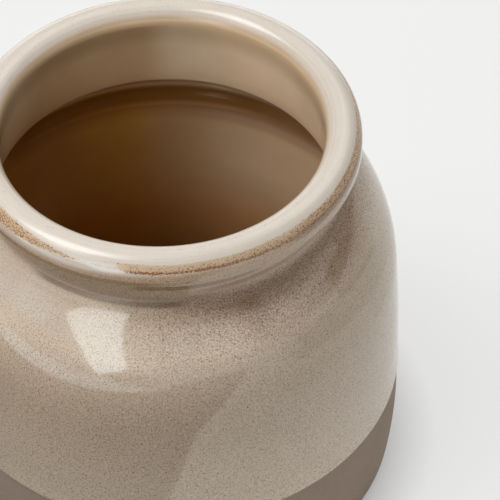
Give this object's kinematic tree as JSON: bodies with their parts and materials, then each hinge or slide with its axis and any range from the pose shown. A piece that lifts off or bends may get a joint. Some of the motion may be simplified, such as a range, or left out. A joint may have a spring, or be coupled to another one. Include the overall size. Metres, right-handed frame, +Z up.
{
  "type": "storage jar",
  "caption": "Open, lidless stoneware storage jar with a rounded shoulder, short undercut neck, rolled rim, speckled beige glaze, brown liner glaze and a bare clay foot band",
  "frame": {"origin": "centre of the jar's underside, in the plane of the foot ring that it stands on", "axes": "+Z up along the jar's axis of rotation; X and Y are free, because the jar is a turned form"},
  "size_m": [0.1304, 0.1304, 0.1248],
  "materials": {
    "bare_stoneware": "unglazed fired stoneware, matt and fine-grained",
    "speckled_beige_glaze": "glossy beige stoneware glaze with fine iron specks",
    "cream_glaze": "satin cream stoneware glaze",
    "brown_liner_glaze": "glossy warm brown liner glaze"
  },
  "bodies": {
    "root": {"stoneware_body": "bare_stoneware", "outer_glaze": "speckled_beige_glaze", "rim_glaze": "cream_glaze", "liner_glaze": "brown_liner_glaze"}
  },
  "joints": []
}
